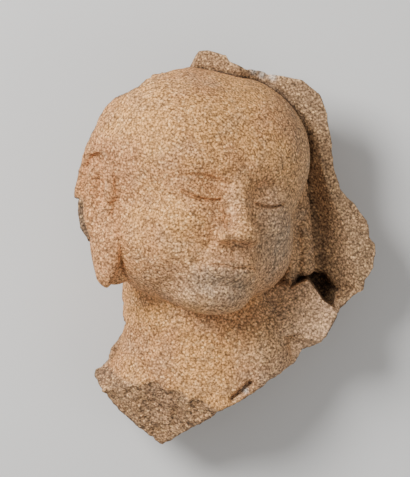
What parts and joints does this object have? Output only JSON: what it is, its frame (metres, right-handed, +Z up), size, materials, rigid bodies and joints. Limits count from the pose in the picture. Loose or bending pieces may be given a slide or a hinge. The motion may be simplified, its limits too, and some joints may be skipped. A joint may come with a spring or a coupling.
{
  "type": "stone face sculpture",
  "caption": "Broken-off carved stone head, life size, with one side of its hood, the neck and a corner of the collar, lying on its back.",
  "frame": {"origin": "on the resting plane, under the middle of the outline box", "axes": "+Z up out of the face side as it lies, +Y from the neck to the crown, +X towards the figure's left, where the hood is"},
  "size_m": [0.303, 0.3954, 0.2079],
  "materials": {
    "stone": "matte"
  },
  "bodies": {
    "root": {"head_fragment": "stone"}
  },
  "joints": []
}
